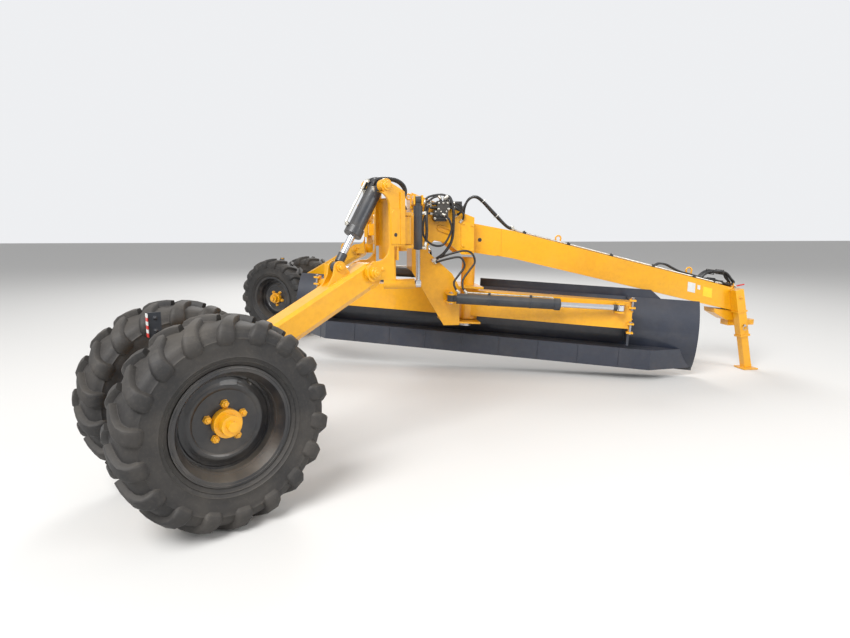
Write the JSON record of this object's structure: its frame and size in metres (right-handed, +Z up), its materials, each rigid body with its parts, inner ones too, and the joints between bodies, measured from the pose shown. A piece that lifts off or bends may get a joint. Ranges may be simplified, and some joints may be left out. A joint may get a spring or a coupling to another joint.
{
  "type": "towed road grader",
  "caption": "Towed grader with a sloping box beam, an angled blade under it and twin wheel pairs on lifting arms.",
  "frame": {"origin": "centre of the tow eye's bore", "axes": "+X forward to the tractor, +Y to the machine's left, +Z up out of the tow eye"},
  "size_m": [6.4597, 7.2052, 1.9882],
  "materials": {
    "frame_paint": "gloss yellow paint",
    "blade_paint": "satin blue-black paint",
    "cylinder_paint": "satin dark grey paint",
    "rod_chrome": "hard chrome",
    "pin_steel": "bright zinc-plated steel",
    "edge_steel": "black paint over hardened steel",
    "tyre_rubber": "worn dusty rubber",
    "rim_paint": "gloss black paint",
    "valve_paint": "black paint"
  },
  "bodies": {
    "frame": {"main_beam": "frame_paint", "tower": "frame_paint", "kingpin": "pin_steel", "roll_pin": "frame_paint", "tow_head": "frame_paint", "jack_sleeve": "frame_paint", "valve_block": "valve_paint", "tilt_bracket": "frame_paint"},
    "jack": {"jack_leg": "frame_paint"},
    "blade": {"blade_beam": "frame_paint", "moldboard": "blade_paint", "edge_carrier": "blade_paint", "cutting_edge": "edge_steel", "spill_plate": "blade_paint", "blade_straps": "blade_paint"},
    "right_angle_barrel_body": {"right_angle_barrel": "cylinder_paint"},
    "right_angle_rod_body": {"right_angle_rod": "rod_chrome"},
    "left_angle_barrel_body": {"left_angle_barrel": "cylinder_paint"},
    "left_angle_rod_body": {"left_angle_rod": "rod_chrome"},
    "cross": {"cross_beam": "frame_paint"},
    "tilt_barrel_body": {"tilt_barrel": "cylinder_paint"},
    "tilt_rod_body": {"tilt_rod": "rod_chrome"},
    "right_bracket_body": {"right_bracket": "frame_paint"},
    "right_arm_body": {"right_arm": "frame_paint"},
    "right_lift_barrel_body": {"right_lift_barrel": "cylinder_paint"},
    "right_lift_rod_body": {"right_lift_rod": "rod_chrome"},
    "right_wheel_body": {"right_outer_tyre": "tyre_rubber", "right_inner_tyre": "tyre_rubber", "right_rims": "rim_paint", "right_axle": "frame_paint"},
    "left_bracket_body": {"left_bracket": "frame_paint"},
    "left_arm_body": {"left_arm": "frame_paint"},
    "left_lift_barrel_body": {"left_lift_barrel": "cylinder_paint"},
    "left_lift_rod_body": {"left_lift_rod": "rod_chrome"},
    "left_wheel_body": {"left_outer_tyre": "tyre_rubber", "left_inner_tyre": "tyre_rubber", "left_rims": "rim_paint", "left_axle": "frame_paint"}
  },
  "joints": [
    {"name": "blade_swing", "type": "hinge", "parent": "frame", "child": "blade", "pos_m": [-3.44, 0, 0.295], "axis": [0.0523, 0, 0.9986], "range_deg": [-65, 0]},
    {"name": "right_angle_turn", "type": "hinge", "parent": "frame", "child": "right_angle_barrel_body", "pos_m": [-3.68547, -0.43, 0.38797], "axis": [0.0523, 0, 0.9986], "range_deg": [-71.95, 0]},
    {"name": "right_angle_stroke", "type": "slide", "parent": "right_angle_barrel_body", "child": "right_angle_rod_body", "axis": [0.9824, -0.1795, -0.0515], "range_m": [-0.54039, 0]},
    {"name": "left_angle_turn", "type": "hinge", "parent": "frame", "child": "left_angle_barrel_body", "pos_m": [-3.67595, 0.43, 0.56973], "axis": [0.0523, 0, 0.9986], "range_deg": [-91.71, 0]},
    {"name": "left_angle_stroke", "type": "slide", "parent": "left_angle_barrel_body", "child": "left_angle_rod_body", "axis": [-0.9862, 0.1573, 0.0517], "range_m": [-0.13047, 0]},
    {"name": "cross_roll", "type": "hinge", "parent": "frame", "child": "cross", "pos_m": [-4.326, 0, 1.09], "axis": [1, 0, 0], "range_deg": [-4, 4]},
    {"name": "tilt_turn", "type": "hinge", "parent": "frame", "child": "tilt_barrel_body", "pos_m": [-4.04, -0.525, 1.38], "axis": [1, 0, 0], "range_deg": [-2.73, 2.73]},
    {"name": "tilt_stroke", "type": "slide", "parent": "tilt_barrel_body", "child": "tilt_rod_body", "axis": [0, 0, -1], "range_m": [-0.03847, 0.03847]},
    {"name": "right_bracket_swing", "type": "hinge", "parent": "cross", "child": "right_bracket_body", "pos_m": [-4.326, -1.995, 1.09], "axis": [0, 0, 1], "range_deg": [-33, 3]},
    {"name": "right_lift", "type": "hinge", "parent": "right_bracket_body", "child": "right_arm_body", "pos_m": [-4.60276, -2.17473, 0.8], "axis": [-0.5446, 0.8387, 0], "range_deg": [-12, 12]},
    {"name": "right_lift_turn", "type": "hinge", "parent": "right_bracket_body", "child": "right_lift_barrel_body", "pos_m": [-4.56083, -2.1475, 1.398], "axis": [-0.5446, 0.8387, 0], "range_deg": [-1.55, 1.55]},
    {"name": "right_lift_stroke", "type": "slide", "parent": "right_lift_barrel_body", "child": "right_lift_rod_body", "axis": [-0.3982, -0.2586, -0.8801], "range_m": [-0.05126, 0.05126]},
    {"name": "right_wheels", "type": "hinge", "parent": "right_arm_body", "child": "right_wheel_body", "pos_m": [-5.60917, -2.8283, 0.07], "axis": [-0.5446, 0.8387, 0], "continuous": true},
    {"name": "left_bracket_swing", "type": "hinge", "parent": "cross", "child": "left_bracket_body", "pos_m": [-4.326, 1.995, 1.09], "axis": [0, 0, -1], "range_deg": [-33, 3]},
    {"name": "left_lift", "type": "hinge", "parent": "left_bracket_body", "child": "left_arm_body", "pos_m": [-4.60276, 2.17473, 0.8], "axis": [0.5446, 0.8387, 0], "range_deg": [-12, 12]},
    {"name": "left_lift_turn", "type": "hinge", "parent": "left_bracket_body", "child": "left_lift_barrel_body", "pos_m": [-4.56083, 2.1475, 1.398], "axis": [0.5446, 0.8387, 0], "range_deg": [-1.55, 1.55]},
    {"name": "left_lift_stroke", "type": "slide", "parent": "left_lift_barrel_body", "child": "left_lift_rod_body", "axis": [-0.3982, 0.2586, -0.8801], "range_m": [-0.05126, 0.05126]},
    {"name": "left_wheels", "type": "hinge", "parent": "left_arm_body", "child": "left_wheel_body", "pos_m": [-5.60917, 2.8283, 0.07], "axis": [0.5446, 0.8387, 0], "continuous": true},
    {"name": "jack_stroke", "type": "slide", "parent": "frame", "child": "jack", "axis": [-0.2079, 0, 0.9781], "range_m": [0, 0.24]}
  ],
  "couplings": [
    {"joint": "right_angle_turn", "follows": "blade_swing", "ratio": 1.0852},
    {"joint": "right_angle_stroke", "follows": "blade_swing", "m_per_rad": 0.467},
    {"joint": "left_angle_turn", "follows": "blade_swing", "ratio": 1.3833},
    {"joint": "left_angle_stroke", "follows": "blade_swing", "m_per_rad": 0.11275},
    {"joint": "tilt_turn", "follows": "cross_roll", "ratio": 0.64883},
    {"joint": "tilt_stroke", "follows": "cross_roll", "m_per_rad": 0.52487},
    {"joint": "right_lift_turn", "follows": "right_lift", "ratio": 0.12643},
    {"joint": "right_lift_stroke", "follows": "right_lift", "m_per_rad": -0.23879},
    {"joint": "left_lift_turn", "follows": "left_lift", "ratio": 0.12643},
    {"joint": "left_lift_stroke", "follows": "left_lift", "m_per_rad": -0.23879}
  ]
}
